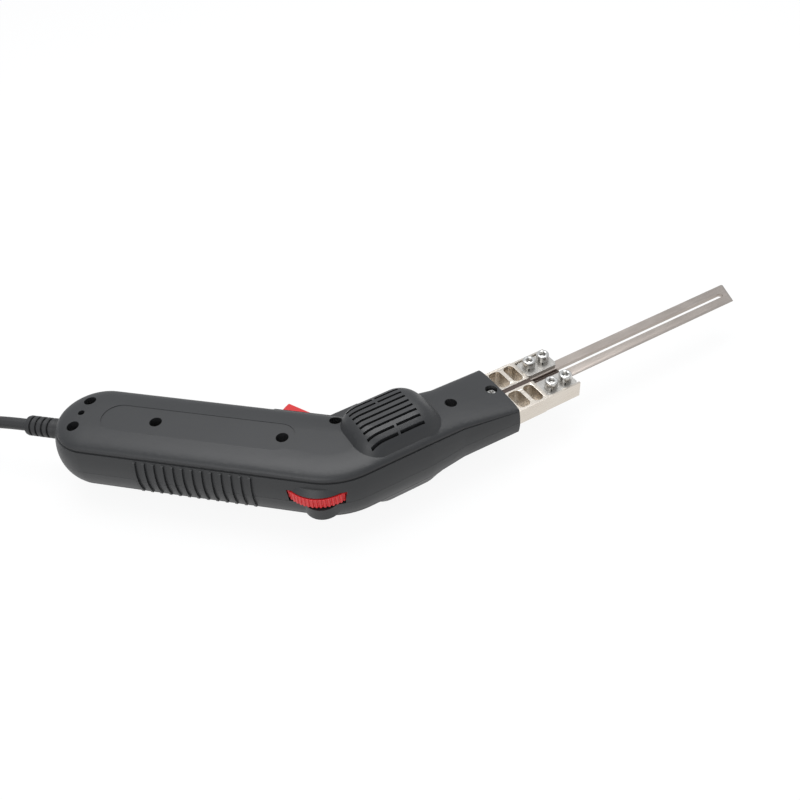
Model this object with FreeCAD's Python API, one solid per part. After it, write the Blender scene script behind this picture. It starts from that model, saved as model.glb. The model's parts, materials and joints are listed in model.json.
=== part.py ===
# Electric hot knife: a bent, two shell handle with a small mains transformer in its head,
# two nickel plated terminal bars out of its nose, and a slotted hot blade clamped across them.
# Units are millimetres. X runs along the blade towards its tip, Y towards the trigger, Z up.
# The tool lies on its side. The origin is on the standing surface, under the middle of the head.
# All pieces are built about the parting plane of the two shells (height w = 0) and lifted at the end.
import FreeCAD, Part
import math
import os

V = FreeCAD.Vector
UP = V(0, 0, 1)

# Housing, plan view
GRIP_ANGLE = 43.0          # degrees between the grip and the blade axis
BEND_X = -23.6             # where the grip axis meets the blade axis
GRIP_HALF = 25.2           # half width of the grip at the parting plane
GRIP_STRAIGHT = 135.2      # along the grip axis to the centre of its round rear end
HEAD_HALF = 22.4           # from the blade axis to the far side of the head, at its rear
HEAD_NEAR = 20.8           # and to its near side
WAIST_X = 34.0             # the head is narrowest here
WAIST_HALF = 18.6
NOSE_HALF = 20.0           # half width of the nose at its front
HEAD_CUT_X = 12.5          # where the head starts to taper towards the nose
NOSE_X = 66.0              # front face of the nose
BEND_RADIUS = 40.0         # outside of the bend
CORNER_RADIUS = 8.0        # inside of the bend
WALL = 2.5

# Housing, height above the parting plane
SHOULDER = 11.7            # top of the bulged side wall
LOWER_SHOULDER = 9.9       # the lower shell is shallower
SIDE_BULGE = 2.2           # how far the side wall swells between its shoulders
GROOVE_STEP = 0.8          # step in from the shoulder to the top plate
GROOVE_HEIGHT = 0.6
PLATE_RISE = 5.2           # crown of the top plate above the groove
PLATE_POWER = 2.6          # how square the crown is
PLATE_INSETS = (0.0, 0.3, 1.2, 3.0, 6.0, 10.0, 14.5)
NOSE_SHOULDER = 7.0
NOSE_BULGE = 0.9
NOSE_STEP = 0.15
NOSE_PLATE_RISE = 2.8
PARTING_GAP = 0.1          # fine line between the two shells

# Raised hump over the transformer, the same on both shells
HUMP_TOP = 24.9            # flat top, which is also what the tool rests on
HUMP_ROOF = 2.2            # thickness of its roof
# height, then the near, far, rear and front sides and the corner radius of each level
HUMP_LEVELS = (
    (9.0, -18.2, 19.9, -26.4, 31.0, 13.5),
    (11.9, -17.2, 20.2, -25.2, 29.2, 13.0),
    (14.5, -15.8, 20.4, -23.2, 27.0, 12.5),
    (17.5, -14.4, 20.2, -21.3, 24.8, 12.0),
    (20.5, -12.6, 19.5, -19.4, 22.6, 11.0),
    (22.8, -9.9, 17.4, -17.4, 20.2, 9.5),
    (24.2, -6.6, 13.6, -15.2, 17.8, 7.5),
    (24.9, -3.0, 9.2, -12.6, 14.8, 4.8),
)
VENT_COUNT = 8
VENT_PITCH = 3.75
VENT_WIDTH = 1.4
VENT_LENGTH = 30.0
VENT_MID_X = -0.7
VENT_MID_Y = 2.0
VENT_BRIDGE = 1.3          # bridge across the middle of a vent
BRIDGED_VENTS = (0, 1, 6, 7)   # in the right shell, in the left one all have it
CORE_RIB_XS = (-15.9, 0.0, 16.0)
CORE_RIB_WIDTH = 1.6
CORE_RIB_DEPTH = 1.3       # how far the ribs stay below the hump's skin
SEAT_GAP = 0.05            # between a seat and what rests on it

# Finger ribs on the grip's sides
RIB_COUNT = 13
RIB_PITCH = 5.12
RIB_START_NEAR = 43.5      # first rib along the grip axis
RIB_START_FAR = 59.5
RIB_WIDTH = 1.3
RIB_PROUD = 1.1
RIB_MARGIN = 0.5           # the ribs end this far from the shoulders

# Bare label recess
LABEL_START = 27.0
LABEL_END = 132.0
LABEL_HALF = 9.2
LABEL_DEPTH = 0.4

# Housing screws: along the grip axis and across it, then the two in the head by X
GRIP_SCREWS = ((102.0, 0.0), (33.5, 0.0), (144.2, 9.6), (144.2, -9.6), (10.7, 16.8))
NECK_R = 2.4               # the second boss narrows to let the thumbwheel pass
NECKED_SCREW = 1
NECKED_SEAT = 8.2          # its seat is higher, above the slot of the thumbwheel
HEAD_SCREW_X = 36.4
NOSE_SCREW_X = 61.4
COUNTERBORE_R = 3.25
BOSS_R = 4.5
SCREW_SEAT = 6.0           # height of the floor of the counterbores
NOSE_SCREW_SEAT = 6.2
NOSE_SCREW_LENGTH = 14.0
SCREW_HEAD_R = 2.8
SCREW_HEAD_H = 2.0
SCREW_SHANK_R = 1.3
SCREW_LENGTH = 17.0
SCREW_FIT = 0.05
SCREW_CLEAR = 0.15         # round a shank that passes through
DIMPLE_R = 1.75            # small blind hole between the two rear screws
DIMPLE_DEPTH = 4.0

# Terminal bars
BAR_REAR_X = 42.0
BAR_FRONT_X = 107.5
BAR_STEP_X = 85.3          # the clamp part in front of this is slightly narrower
SLIT_HALF = 1.5
BAR_OUTER = 17.1
BAR_OUTER_FRONT = 16.8
BAR_HALF_H = 4.75
BAR_TOP_FRONT = 4.6
BAR_FIT = 0.15             # clearance of the bars in the nose
POCKETS = ((69.3, 76.6), (78.9, 85.0))
POCKET_INNER = 2.6
POCKET_OUTER = 15.6
POCKET_FLOOR = -2.6
POCKET_CORNER = 2.6
SEAT_REAR_X = 87.3         # rear of the recess for the clamp plates
SEAT_INNER = 2.9
SEAT_OUTER = 15.6
TONGUE_END_X = 50.0        # rear end of each bar is cut down to take the copper strap

# Blade
BLADE_HALF = 7.25
BLADE_THICK = 2.0
BLADE_REAR_X = 87.6
BLADE_TIP_FAR_X = 234.0
BLADE_TIP_NEAR_X = 228.0
BLADE_SLOT_HALF = 1.6
BLADE_SLOT_END_X = 226.0
BLADE_BEVEL = 1.5
BLADE_EDGE = 0.3           # thickness left at the ground edge
BLADE_FIT = 0.05

# Clamp plates, washers and screws
PLATE_THICK = 1.7
PLATE_FIT = 0.2
PLATE_CHAMFER = 1.6
PLATE_CORNER = 2.4
CLAMP_SCREW_XS = (93.1, 102.3)
CLAMP_SCREW_Y = 10.0
CLAMP_HEAD_R = 3.5
CLAMP_HEAD_H = 4.0
CLAMP_SHANK_R = 2.0
CLAMP_HEX = 3.0            # across flats of the socket
WASHER_R = 3.4
WASHER_T = 1.0
WASHER_SPLIT = 0.8

# Slit insulation and the bar carrier inside the nose
STRIP_REAR_X = 63.0
STRIP_FRONT_X = 87.0
CARRIER_REAR_X = 50.6
CARRIER_FRONT_X = 55.6
CARRIER_HALF_H = 7.0
CARRIER_HALF_Y = 13.4

# Transformer
CORE_X = 1.6
CORE_LENGTH = 35.0
CORE_THICK = 15.0
CORE_HALF_H = 17.2
LIMB_HALF_H = 6.0
WINDOW_TOP = 12.2
WINDOW_LENGTH = 26.0
BOBBIN_WALL = 1.0
BOBBIN_FLANGE = 1.2
BOBBIN_FIT = 0.15
PRIMARY_LENGTH = 13.6
PRIMARY_DEPTH = 4.1
STRAP_WIDTH = 8.0
STRAP_THICK = 1.9
STRAP_CLEAR = 2.1
STRAP_LOW = -4.0
STRAP_ABOVE_LIMB = 1.4
STRAP_SCREW_X = 46.0
STRAP_SCREW_R = 1.6

# Trigger and its bezel, all along and across the grip axis
TRIGGER_PIVOT_S = 21.0
TRIGGER_PIVOT_N = 24.2
TRIGGER_HALF_W = 6.4
TRIGGER_PIN_R = 1.25
TRIGGER_NOSE_R = 3.2
TRIGGER_REAR_R = 24.3      # the rear face is an arc about the pivot
TRIGGER_TOP_N = 35.2
TRIGGER_BELOW_N = 18.2
PRESS_ANGLE = 8.0          # degrees of trigger travel
BEZEL_PROUD = 2.0
BEZEL_HALF_W = 9.0
BEZEL_REAR_S = 49.5
COLLAR_WALL = 1.2
COLLAR_DEPTH_N = 19.6
COLLAR_FIT = 0.1
PIN_FIT = 0.05
TRIGGER_GAP = 0.4
GUARD_Y = 31.7             # finger stop in front of the trigger
GUARD_FRONT_X = -0.5

# Micro switch under the trigger
SWITCH_S0 = 23.0
SWITCH_S1 = 43.0
SWITCH_TOP_N = 12.4
SWITCH_H = 7.2
SWITCH_HALF_W = 3.2
SWITCH_W = -3.9            # height of its middle, below the thumbwheel
PLUNGER_S = 33.0
PLUNGER_R = 1.1
PLUNGER_OUT = 2.9
PLUNGER_FIT = 0.05
SPRING_S = 39.5
SPRING_R = 1.9
SPRING_WIRE_R = 0.3
SPRING_TURNS = 4

# Thumbwheel, its shaft and potentiometer
WHEEL_S = 12.0
WHEEL_N = -8.3
WHEEL_R = 20.0
WHEEL_LOW = 1.0
WHEEL_HIGH = 6.2
WHEEL_TEETH = 60
WHEEL_TOOTH = 0.5
WHEEL_GAP = 0.8
WHEEL_SLOT_TOP = 6.9
VISOR_R = 19.2
VISOR_HIGH = 9.3
KNOB_S = 9.0
KNOB_N = -19.4
KNOB_R = 9.5
KNOB_LOW = -8.4
KNOB_CHAMFER = 1.6
POT_R = 8.0
POT_HIGH = -3.0
POT_LOW = -10.4
SHAFT_R = 3.0
SHAFT_FIT = 0.05

# Circuit board and what stands on it
BOARD_S0 = 52.0
BOARD_S1 = 94.0
BOARD_HALF_N = 15.0
BOARD_LOW = -8.0
BOARD_THICK = 1.6

# Cord
CORD_W = 2.4               # its axis lies a little above the parting plane
CORD_R = 3.3
CORD_FIT = 0.02
BOOT_R = 5.5
BOOT_ROOT_R = 4.6
BOOT_RINGS = 4
BOOT_PITCH = 5.2
BOOT_RING = 3.4
BOOT_START_S = 160.6
BOOT_LENGTH = 20.0
BOOT_NECK_R = 5.2
BOOT_FLANGE_R = 7.9
BOOT_FLANGE_S = 153.8
BOOT_FLANGE_T = 2.7
CLAMP_S0 = 130.0
CLAMP_S1 = 136.5
CLAMP_SCREW_N = 7.6
CLAMP_SCREW_R = 1.2
CLAMP_POST_R = 3.0
CLAMP_BAR_T = 3.0
CLAMP_SCREW_DEPTH = 8.0
CORD_INNER_S = 124.0
LEAD_R = 1.1

COIL_LOOPS = 3             # loops in each of the two layers
COIL_STEP = 7.15
COIL_OUTER_R = 46.5
COIL_X = -268.0
COIL_Y = 150.0

# Plug: a flat two pin plug
PLUG_LENGTH = 34.0
PLUG_HALF_W = 12.6
PLUG_HALF_H = 6.8
PIN_R = 2.0
PIN_LENGTH = 19.0
PIN_SPACING = 18.6

COS = math.cos(math.radians(GRIP_ANGLE))
SIN = math.sin(math.radians(GRIP_ANGLE))
ALONG = V(-COS, SIN, 0)    # along the grip, towards the cord
ACROSS = V(SIN, COS, 0)    # across the grip, towards the trigger side
CROWN_HALF = GRIP_HALF - SIDE_BULGE - GROOVE_STEP
CROWN_EDGE = HEAD_HALF - SIDE_BULGE - GROOVE_STEP
TALL = 60.0                # longer than anything is high


# Places and simple shapes

def grip(s, n, w=0.0):
    return V(BEND_X, 0, w) + ALONG * s + ACROSS * n


def prism(points, low, high):
    wire = Part.makePolygon([V(p.x, p.y, low) for p in points] + [V(points[0].x, points[0].y, low)])
    return Part.Face(wire).extrude(V(0, 0, high - low))


def plan_prism(points, low, high):
    return prism([V(x, y, 0) for x, y in points], low, high)


def grip_prism(points, low, high):
    return prism([grip(s, n) for s, n in points], low, high)


def box(x0, x1, y0, y1, w0, w1):
    return Part.makeBox(x1 - x0, y1 - y0, w1 - w0, V(x0, y0, w0))


def grip_box(s0, s1, n0, n1, w0, w1):
    return grip_prism([(s0, n0), (s1, n0), (s1, n1), (s0, n1)], w0, w1)


def post(at, radius, low, high):
    return Part.makeCylinder(radius, high - low, V(at.x, at.y, low), UP)


def rod(start, direction, radius, length):
    return Part.makeCylinder(radius, length, start, direction)


def fuse_all(shapes):
    result = shapes[0]
    for shape in shapes[1:]:
        result = result.fuse(shape)
    return result.removeSplitter()


def mirrored(shape):
    return shape.mirror(V(0, 0, 0), UP)


def loft(wires, ruled=False):
    return Part.makeLoft(wires, True, ruled)


def arc_edge(start, middle, end):
    return Part.Arc(start, middle, end).toShape()


def line_edge(start, end):
    return Part.makeLine(start, end)


# Housing outline and its levels

def outline(inset, w):
    """Closed plan outline of the grip, bend and rear of the head, set in by inset, at height w."""
    y = -HEAD_NEAR + BEND_RADIUS
    outer = V(BEND_X + (BEND_RADIUS - GRIP_HALF - COS * y) / SIN, y, w)
    y = HEAD_HALF + CORNER_RADIUS
    inner = V(BEND_X + (CORNER_RADIUS + GRIP_HALF - COS * y) / SIN, y, w)
    rear = grip(GRIP_STRAIGHT, 0, w)
    r_outer = BEND_RADIUS - inset
    r_inner = CORNER_RADIUS + inset
    r_rear = GRIP_HALF - inset
    half_turn = math.radians(GRIP_ANGLE) / 2
    between = V(math.sin(half_turn), math.cos(half_turn), 0)
    near_front = V(HEAD_CUT_X, -(HEAD_NEAR - inset), w)
    near_head = outer - V(0, r_outer, 0)
    near_grip = outer - ACROSS * r_outer
    near_rear = rear - ACROSS * r_rear
    tail = rear + ALONG * r_rear
    far_rear = rear + ACROSS * r_rear
    far_grip = inner - ACROSS * r_inner
    far_head = inner - V(0, r_inner, 0)
    far_front = V(HEAD_CUT_X, HEAD_HALF - inset, w)
    diagonal = math.sqrt(0.5)
    edges = [
        line_edge(near_front, near_head),
        arc_edge(near_head, outer - between * r_outer, near_grip),
        line_edge(near_grip, near_rear),
        arc_edge(near_rear, rear + (ALONG - ACROSS) * (diagonal * r_rear), tail),
        arc_edge(tail, rear + (ALONG + ACROSS) * (diagonal * r_rear), far_rear),
        line_edge(far_rear, far_grip),
        arc_edge(far_grip, inner - between * r_inner, far_head),
        line_edge(far_head, far_front),
        line_edge(far_front, near_front),
    ]
    return Part.Wire(edges)


def bulge_inset(w):
    return SIDE_BULGE * (w / (SHOULDER if w > 0 else LOWER_SHOULDER)) ** 2


def crown_rise(inset, half=CROWN_HALF):
    """Height of the top plate's crown above its edge, inset from that edge."""
    return PLATE_RISE * (1 - (1 - inset / half) ** PLATE_POWER) ** (1 / PLATE_POWER)


def side_wall(inset):
    levels = (-LOWER_SHOULDER, -LOWER_SHOULDER / 2, 0, SHOULDER / 2, SHOULDER)
    return loft([outline(inset + bulge_inset(w), w) for w in levels])


def top_plate():
    edge = SIDE_BULGE + GROOVE_STEP
    base = SHOULDER + GROOVE_HEIGHT
    wires = [outline(edge + inset, base + crown_rise(inset)) for inset in PLATE_INSETS]
    neck = Part.Face(outline(edge, 0)).extrude(V(0, 0, base))
    return loft(wires).fuse(neck)


def plate_below(plate):
    """The same plate on the lower shell."""
    below = mirrored(plate)
    below.translate(V(0, 0, SHOULDER - LOWER_SHOULDER))
    return below


def curves_at_cut(solid):
    """The curved edges of a loft in the plane where the head starts."""
    return [edge for edge in solid.Edges
            if edge.BoundBox.XMin > HEAD_CUT_X - 0.01 and edge.BoundBox.ZLength > 1]


def nearest_edge(edges, point):
    return min(edges, key=lambda edge: edge.CenterOfMass.distanceToPoint(point))


def stretched(edge, x, y_from, y_to, w_from, w_to):
    """A copy of an edge of the head's rear section in the section at x. Each pair from and to
    holds two distances in the rear section and what they become at x."""
    y_scale = (y_to[1] - y_to[0]) / (y_from[1] - y_from[0])
    w_scale = (w_to[1] - w_to[0]) / (w_from[1] - w_from[0])
    matrix = FreeCAD.Matrix(1, 0, 0, x - HEAD_CUT_X, 0, y_scale, 0, y_to[0] - y_scale * y_from[0],
                            0, 0, w_scale, w_to[0] - w_scale * w_from[0])
    return edge.transformGeometry(matrix).Edges[0]


def head_section(x, near, far, upper, lower, bulge, step, groove, rise):
    """The sizes of the head at x: half widths, shoulders, and the bulge, step, groove and crown."""
    return {"x": x, "half": {-1: near, 1: far}, "shoulder": {-1: lower, 1: upper}, "bulge": bulge,
            "step": step, "groove": groove, "rise": rise}


def head_sections():
    rear = head_section(HEAD_CUT_X, HEAD_NEAR, HEAD_HALF, SHOULDER, LOWER_SHOULDER, SIDE_BULGE,
                        GROOVE_STEP, GROOVE_HEIGHT, PLATE_RISE)
    nose = head_section(NOSE_X, NOSE_HALF, NOSE_HALF, NOSE_SHOULDER, NOSE_SHOULDER, NOSE_BULGE,
                        NOSE_STEP, NOSE_STEP, NOSE_PLATE_RISE)
    share = (WAIST_X - HEAD_CUT_X) / (NOSE_X - HEAD_CUT_X)

    def between(a, b):
        return a + share * (b - a)

    waist = head_section(WAIST_X, WAIST_HALF, WAIST_HALF, between(SHOULDER, NOSE_SHOULDER),
                         between(LOWER_SHOULDER, NOSE_SHOULDER), between(SIDE_BULGE, NOSE_BULGE),
                         between(GROOVE_STEP, NOSE_STEP), between(GROOVE_HEIGHT, NOSE_STEP),
                         between(PLATE_RISE, NOSE_PLATE_RISE))
    return rear, waist, nose


def head_marks(section, y_sign, w_sign):
    """Distances that mark a quarter of a section: the plate's edge and its flat, and both heights."""
    half = section["half"][y_sign]
    edge = half - section["bulge"] - section["step"]
    rear_edge = (HEAD_HALF if y_sign > 0 else HEAD_NEAR) - SIDE_BULGE - GROOVE_STEP
    flat_y = edge - PLATE_INSETS[-1] * edge / rear_edge
    base = section["shoulder"][w_sign] + section["groove"]
    flat_w = base + section["rise"] * crown_rise(PLATE_INSETS[-1]) / PLATE_RISE
    return half, edge, flat_y, base, flat_w


def head_wire(section, rear, curves):
    """Cross section of the head: two bulged sides, two grooves and two crowned plates.
    The curved edges are those of the rear of the head, each moved and stretched to fit."""
    x = section["x"]
    edges = []
    for y_sign in (-1, 1):
        half = section["half"][y_sign]
        shoulders = section["shoulder"]
        rear_half = rear["half"][y_sign]
        rear_side = nearest_edge(curves, V(HEAD_CUT_X, y_sign * rear_half, 0))
        edges.append(stretched(rear_side, x, (y_sign * rear_half, y_sign * (rear_half - rear["bulge"])),
                               (y_sign * half, y_sign * (half - section["bulge"])),
                               (-rear["shoulder"][-1], rear["shoulder"][1]),
                               (-shoulders[-1], shoulders[1])))
    for w_sign in (-1, 1):
        flats = []
        for y_sign in (-1, 1):
            half, edge, flat_y, base, flat_w = head_marks(section, y_sign, w_sign)
            _, rear_edge, rear_flat_y, rear_base, rear_flat_w = head_marks(rear, y_sign, w_sign)
            middle = V(HEAD_CUT_X, y_sign * (rear_edge + rear_flat_y) / 2,
                       w_sign * (rear_base + PLATE_RISE / 2))
            edges.append(stretched(nearest_edge(curves, middle), x,
                                   (y_sign * rear_edge, y_sign * rear_flat_y),
                                   (y_sign * edge, y_sign * flat_y),
                                   (w_sign * rear_base, w_sign * rear_flat_w),
                                   (w_sign * base, w_sign * flat_w)))
            shoulder = section["shoulder"][w_sign]
            corner = V(x, y_sign * edge, w_sign * shoulder)
            edges.append(line_edge(V(x, y_sign * (half - section["bulge"]), w_sign * shoulder), corner))
            edges.append(line_edge(corner, V(x, y_sign * edge, w_sign * base)))
            flats.append(V(x, y_sign * flat_y, w_sign * flat_w))
        edges.append(line_edge(flats[0], flats[1]))
    return Part.Wire(Part.__sortEdges__(edges))


def head_front(wall, plate):
    curves = curves_at_cut(wall) + curves_at_cut(plate) + curves_at_cut(plate_below(plate))
    rear, waist, nose = head_sections()
    wires = [head_wire(section, rear, curves) for section in (rear, waist, nose)]
    return loft(wires[:2], True).fuse(loft(wires[1:], True))


def rounded_level(w, near, far, rear, front, radius):
    """Rounded rectangle at height w."""
    k = radius * (1 - math.sqrt(0.5))
    edges = [
        line_edge(V(rear + radius, near, w), V(front - radius, near, w)),
        arc_edge(V(front - radius, near, w), V(front - k, near + k, w), V(front, near + radius, w)),
        line_edge(V(front, near + radius, w), V(front, far - radius, w)),
        arc_edge(V(front, far - radius, w), V(front - k, far - k, w), V(front - radius, far, w)),
        line_edge(V(front - radius, far, w), V(rear + radius, far, w)),
        arc_edge(V(rear + radius, far, w), V(rear + k, far - k, w), V(rear, far - radius, w)),
        line_edge(V(rear, far - radius, w), V(rear, near + radius, w)),
        arc_edge(V(rear, near + radius, w), V(rear + k, near + k, w), V(rear + radius, near, w)),
    ]
    return Part.Wire(edges)


def hump(inset=0.0, ruled=False):
    wires = []
    for w, near, far, rear, front, radius in HUMP_LEVELS:
        level = w - inset * w / HUMP_TOP
        wires.append(rounded_level(level, near + inset, far - inset, rear + inset, front - inset,
                                   radius - min(inset, 0.6 * radius)))
    return loft(wires, ruled)


def outer_body():
    wall = side_wall(0)
    plate = top_plate()
    bump = hump()
    return fuse_all([wall, plate, plate_below(plate), head_front(wall, plate), bump, mirrored(bump)])


def cavity():
    """The hollow inside both shells."""
    top_inset = 11.0
    edge = WALL + SIDE_BULGE + GROOVE_STEP
    below_crown = GROOVE_HEIGHT + crown_rise(top_inset - SIDE_BULGE - GROOVE_STEP) - WALL
    roof = SHOULDER + below_crown
    floor = LOWER_SHOULDER + below_crown
    levels = [(-floor, top_inset), (-LOWER_SHOULDER, edge), (0, WALL), (SHOULDER, edge), (roof, top_inset)]
    grip_part = loft([outline(inset, w) for w, inset in levels], True)
    cavity_end = CARRIER_FRONT_X + BAR_FIT

    def ring(x, near, far, fall):
        """Section at x; near and far are its half widths, fall is how far the shoulders have dropped."""
        lean = edge - WALL
        points = [V(x, -near, 0), V(x, lean - near, SHOULDER - fall[0]),
                  V(x, top_inset - near, roof - fall[1]), V(x, far - top_inset, roof - fall[1]),
                  V(x, far - lean, SHOULDER - fall[0]), V(x, far, 0),
                  V(x, far - lean, fall[2] - LOWER_SHOULDER), V(x, far - top_inset, fall[3] - floor),
                  V(x, top_inset - near, fall[3] - floor), V(x, lean - near, fall[2] - LOWER_SHOULDER)]
        return Part.makePolygon(points + [points[0]])

    def fallen(x):
        share = (x - HEAD_CUT_X) / (NOSE_X - HEAD_CUT_X)
        crown = PLATE_RISE - NOSE_PLATE_RISE
        upper = share * (SHOULDER - NOSE_SHOULDER)
        lower = share * (LOWER_SHOULDER - NOSE_SHOULDER)
        return upper, upper + share * crown, lower, lower + share * crown

    flare = (cavity_end - WAIST_X) / (NOSE_X - WAIST_X)
    end_half = WAIST_HALF + flare * (NOSE_HALF - WAIST_HALF) - WALL
    waist_half = WAIST_HALF - WALL
    rings = [ring(HEAD_CUT_X, HEAD_NEAR - WALL, HEAD_HALF - WALL, fallen(HEAD_CUT_X)),
             ring(WAIST_X, waist_half, waist_half, fallen(WAIST_X)),
             ring(cavity_end, end_half, end_half, fallen(cavity_end))]
    hollow = hump(HUMP_ROOF, True)
    return fuse_all([grip_part, loft(rings, True), hollow, mirrored(hollow)])


# Features of the shells

def finger_ribs():
    ring = side_wall(-RIB_PROUD).cut(side_wall(0))
    slabs = []
    for index in range(RIB_COUNT):
        for start, n0, n1 in ((RIB_START_NEAR, -2 * GRIP_HALF, 0), (RIB_START_FAR, 0, 2 * GRIP_HALF)):
            s = start + index * RIB_PITCH
            slabs.append(grip_box(s - RIB_WIDTH / 2, s + RIB_WIDTH / 2, n0, n1,
                                  RIB_MARGIN - LOWER_SHOULDER, SHOULDER - RIB_MARGIN))
    return ring.common(Part.makeCompound(slabs))


def screw_places():
    """Axis, seat height and length of each housing screw, and the radius of its boss at the wheel."""
    places = []
    for index, (s, n) in enumerate(GRIP_SCREWS):
        neck, seat = (NECK_R, NECKED_SEAT) if index == NECKED_SCREW else (BOSS_R, SCREW_SEAT)
        places.append((grip(s, n), seat, SCREW_LENGTH + seat - SCREW_SEAT, neck))
    places.append((V(HEAD_SCREW_X, 0, 0), SCREW_SEAT, SCREW_LENGTH, BOSS_R))
    return places


def all_screws():
    return screw_places() + [(V(NOSE_SCREW_X, 0, 0), NOSE_SCREW_SEAT, NOSE_SCREW_LENGTH, BOSS_R)]


def vent_slots(bridged):
    """Slots through the top of the hump, those in bridged have a bridge across the middle."""
    cuts = []
    low = HUMP_LEVELS[3][0]
    for index in range(VENT_COUNT):
        y = VENT_MID_Y + (index - (VENT_COUNT - 1) / 2) * VENT_PITCH
        slot = box(VENT_MID_X - VENT_LENGTH / 2, VENT_MID_X + VENT_LENGTH / 2, y - VENT_WIDTH / 2,
                   y + VENT_WIDTH / 2, low, TALL)
        if index in bridged:
            half = VENT_BRIDGE / 2
            slot = slot.cut(box(-half, half, y - VENT_WIDTH, y + VENT_WIDTH, low, TALL))
        cuts.append(slot)
    return Part.makeCompound(cuts)


def core_ribs():
    """Cross ribs under the roof of the hump, down to the transformer core."""
    inner = hump(CORE_RIB_DEPTH)
    low = CORE_HALF_H + SEAT_GAP
    ribs = []
    for x in CORE_RIB_XS:
        half = CORE_RIB_WIDTH / 2
        ribs.append(inner.common(box(x - half, x + half, -HEAD_HALF, HEAD_HALF, low, TALL)))
    return ribs


def label_recess():
    floor = SHOULDER + GROOVE_HEIGHT + PLATE_RISE - LABEL_DEPTH
    first = grip(LABEL_START + LABEL_HALF, 0)
    last = grip(LABEL_END - LABEL_HALF, 0)
    straight = grip_box(LABEL_START + LABEL_HALF, LABEL_END - LABEL_HALF, -LABEL_HALF, LABEL_HALF,
                        floor, TALL)
    return fuse_all([straight, post(first, LABEL_HALF, floor, TALL), post(last, LABEL_HALF, floor, TALL)])


def bar_passage():
    half_y = BAR_OUTER + BAR_FIT
    half_w = BAR_HALF_H + BAR_FIT
    return box(BAR_REAR_X - 1, NOSE_X + 1, -half_y, half_y, -half_w, half_w)


def trigger_opening(wall):
    """The hole that holds the bezel's collar, wall is what is added round the trigger's room."""
    s0 = TRIGGER_PIVOT_S - TRIGGER_NOSE_R - wall
    s1 = TRIGGER_PIVOT_S + TRIGGER_REAR_R + TRIGGER_GAP + wall
    half_w = TRIGGER_HALF_W + TRIGGER_GAP + wall
    return s0, s1, half_w


def shell_common(body):
    """What both shells share, as one body still in one piece."""
    hollow = cavity()
    shell = body.cut(hollow)
    shell = shell.cut(bar_passage())
    s0, s1, half_w = trigger_opening(COLLAR_WALL + COLLAR_FIT)
    shell = shell.cut(grip_box(s0, s1, COLLAR_DEPTH_N - 1, GRIP_HALF + 10, -half_w, half_w))
    hole = rod(grip(GRIP_STRAIGHT, 0, CORD_W), ALONG, BOOT_NECK_R + COLLAR_FIT, GRIP_HALF + 10)
    shell = shell.cut(hole)
    depth = 3.0
    seat = rod(grip(BOOT_FLANGE_S - depth, 0, CORD_W), ALONG, BOOT_FLANGE_R + COLLAR_FIT,
               depth + BOOT_FLANGE_T + SEAT_GAP)
    shell = shell.cut(seat)
    shell = shell.cut(vent_slots(BRIDGED_VENTS)).cut(mirrored(vent_slots(range(VENT_COUNT))))
    for rib in core_ribs():
        shell = shell.fuse(rib).fuse(mirrored(rib))
    return shell, hollow


def upper_shell(body, shared, hollow):
    shell = shared.common(plan_window(PARTING_GAP / 2, TALL))
    room = body.common(plan_window(PARTING_GAP / 2, TALL))
    for at, seat, _, neck in screw_places():
        bosses = post(at, BOSS_R, WHEEL_SLOT_TOP, TALL)
        shell = shell.fuse(bosses.common(room))
        shell = shell.fuse(post(at, neck, PARTING_GAP / 2, WHEEL_SLOT_TOP))
    wheel = grip(WHEEL_S, WHEEL_N)
    visor = Part.makeCone(VISOR_R, VISOR_R - (VISOR_HIGH - WHEEL_SLOT_TOP), VISOR_HIGH - WHEEL_SLOT_TOP,
                          V(wheel.x, wheel.y, WHEEL_SLOT_TOP), UP)
    shell = shell.fuse(visor.cut(hollow))
    shell = shell.cut(post(wheel, WHEEL_R + WHEEL_GAP, -1, WHEEL_SLOT_TOP))
    shell = shell.fuse(post(wheel, SHAFT_R + 2, WHEEL_HIGH + SEAT_GAP, TALL).common(room))
    for at, seat, _, _ in all_screws():
        shell = shell.cut(post(at, COUNTERBORE_R, seat, TALL))
        shell = shell.cut(post(at, SCREW_SHANK_R + SCREW_CLEAR, 0, seat + 1))
    shell = shell.cut(label_recess())
    roof = SHOULDER + GROOVE_HEIGHT + PLATE_RISE
    dimple = grip(GRIP_SCREWS[2][0], 0)
    shell = shell.fuse(post(dimple, DIMPLE_R + 1, roof - DIMPLE_DEPTH - 1, TALL).common(room))
    shell = shell.cut(post(dimple, DIMPLE_R, roof - DIMPLE_DEPTH, TALL))
    return shell.removeSplitter()


def plan_window(low, high):
    return box(-400, 400, -400, 400, low, high)


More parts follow.
